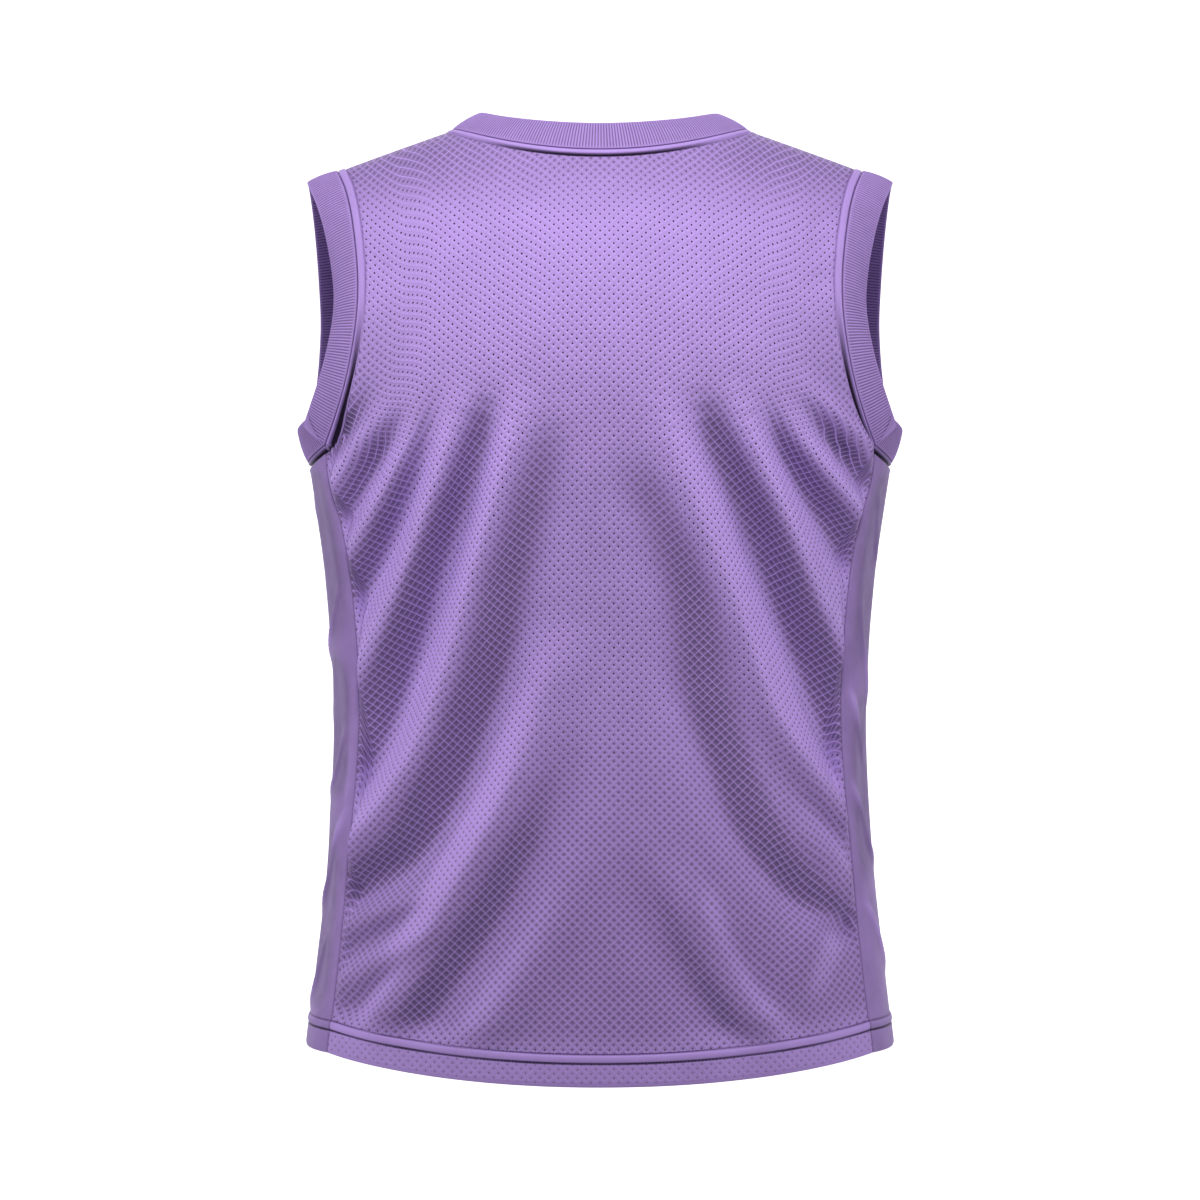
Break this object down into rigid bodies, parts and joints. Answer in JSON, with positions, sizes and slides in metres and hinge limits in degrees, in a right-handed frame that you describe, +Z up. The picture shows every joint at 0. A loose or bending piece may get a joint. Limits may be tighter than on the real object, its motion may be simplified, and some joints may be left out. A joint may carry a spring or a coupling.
{
  "type": "sleeveless sports jersey",
  "caption": "Sleeveless crew-neck flag football jersey in pinhole mesh, worn shape standing open, with ribbed collar and armhole bands.",
  "frame": {"origin": "midway between the two points where the shoulder seams meet the collar", "axes": "+Z up along the body, -Y is the garment's front, +Y its back, +X the wearer's left"},
  "size_m": [0.4584, 0.2548, 0.7214],
  "materials": {
    "pinhole_mesh": "lavender polyester pinhole mesh with a satin sheen",
    "smooth_knit": "lavender smooth plain knit",
    "rib_knit": "lavender 1x1 rib knit, matte"
  },
  "bodies": {
    "root": {"back_panel": "pinhole_mesh", "front_panel": "pinhole_mesh", "side_panel_left": "smooth_knit", "side_panel_right": "smooth_knit", "collar": "rib_knit", "armband_left": "rib_knit", "armband_right": "rib_knit"}
  },
  "joints": []
}
